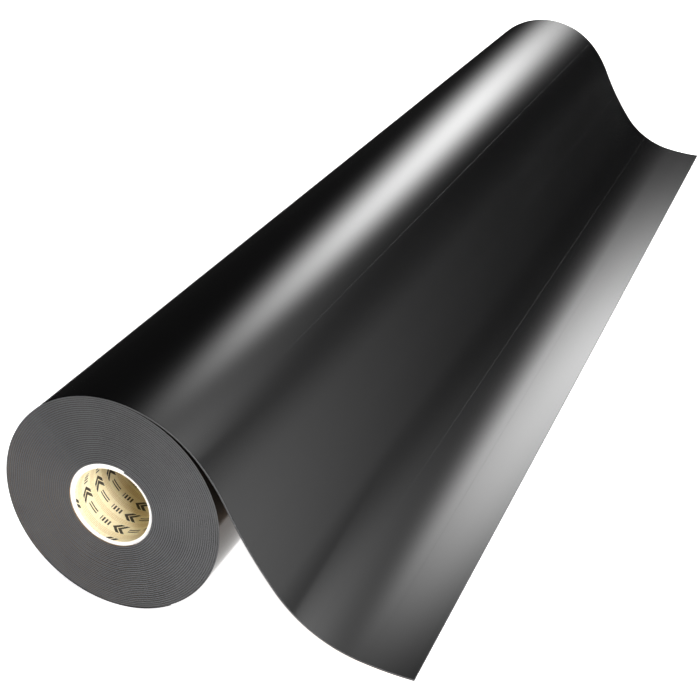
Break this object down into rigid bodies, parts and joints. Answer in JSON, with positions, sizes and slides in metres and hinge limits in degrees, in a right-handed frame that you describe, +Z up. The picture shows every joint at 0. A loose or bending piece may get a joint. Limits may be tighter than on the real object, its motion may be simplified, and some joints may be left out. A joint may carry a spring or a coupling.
{
  "type": "roll of sign vinyl",
  "caption": "Full-width roll of glossy black self-adhesive vinyl wound on a printed board core, with its free end sweeping down to the floor.",
  "frame": {"origin": "centre of the core's bore at mid-length", "axes": "+Y along the roll, away from the end that faces the viewer; +X towards the free end; +Z up"},
  "size_m": [0.4018, 1.524, 0.2204],
  "materials": {
    "printed_ply": null,
    "core_board": "wound paper board",
    "core_wrap": "white paper",
    "start_tape": "double-sided paper tape",
    "wound_film": "calendered vinyl, slit edges",
    "wound_liner": "grey release paper, slit edges",
    "vinyl_film": "high-gloss calendered vinyl",
    "release_liner": "dark silicone-coated release paper"
  },
  "bodies": {
    "outer_turn": {"outer_turn_film": "vinyl_film", "outer_turn_liner": "release_liner"},
    "roll": {"core_print_ply": "printed_ply", "core_board": "core_board", "core_wrap": "core_wrap", "start_tape": "start_tape", "wound_film": "wound_film", "wound_liner": "wound_liner"},
    "sheet_upper": {"sheet_upper_film": "vinyl_film", "sheet_upper_liner": "release_liner"},
    "sheet_middle": {"sheet_middle_film": "vinyl_film", "sheet_middle_liner": "release_liner"},
    "sheet_lead": {"sheet_lead_film": "vinyl_film", "sheet_lead_liner": "release_liner"},
    "film_tab": {"film_tab": "vinyl_film"}
  },
  "joints": [
    {"name": "roll_spin", "type": "hinge", "parent": "outer_turn", "child": "roll", "pos_m": [0, 0, 0], "axis": [0, 1, 0], "continuous": true},
    {"name": "sheet_lift", "type": "hinge", "parent": "outer_turn", "child": "sheet_upper", "pos_m": [0.09216, 0, 0.0657], "axis": [0, -1, 0], "range_deg": [-4, 65], "stiffness_Nm_per_rad": 20},
    {"name": "sheet_bend", "type": "hinge", "parent": "sheet_upper", "child": "sheet_middle", "pos_m": [0.16149, 0, -0.05191], "axis": [0, -1, 0], "range_deg": [-25, 40], "stiffness_Nm_per_rad": 20},
    {"name": "lead_curl", "type": "hinge", "parent": "sheet_middle", "child": "sheet_lead", "pos_m": [0.24001, 0, -0.1028], "axis": [0, -1, 0], "range_deg": [-10, 45], "stiffness_Nm_per_rad": 5},
    {"name": "film_peel", "type": "hinge", "parent": "sheet_lead", "child": "film_tab", "pos_m": [0.2496, 0, -0.10369], "axis": [0, -1, 0], "range_deg": [0, 120]}
  ]
}
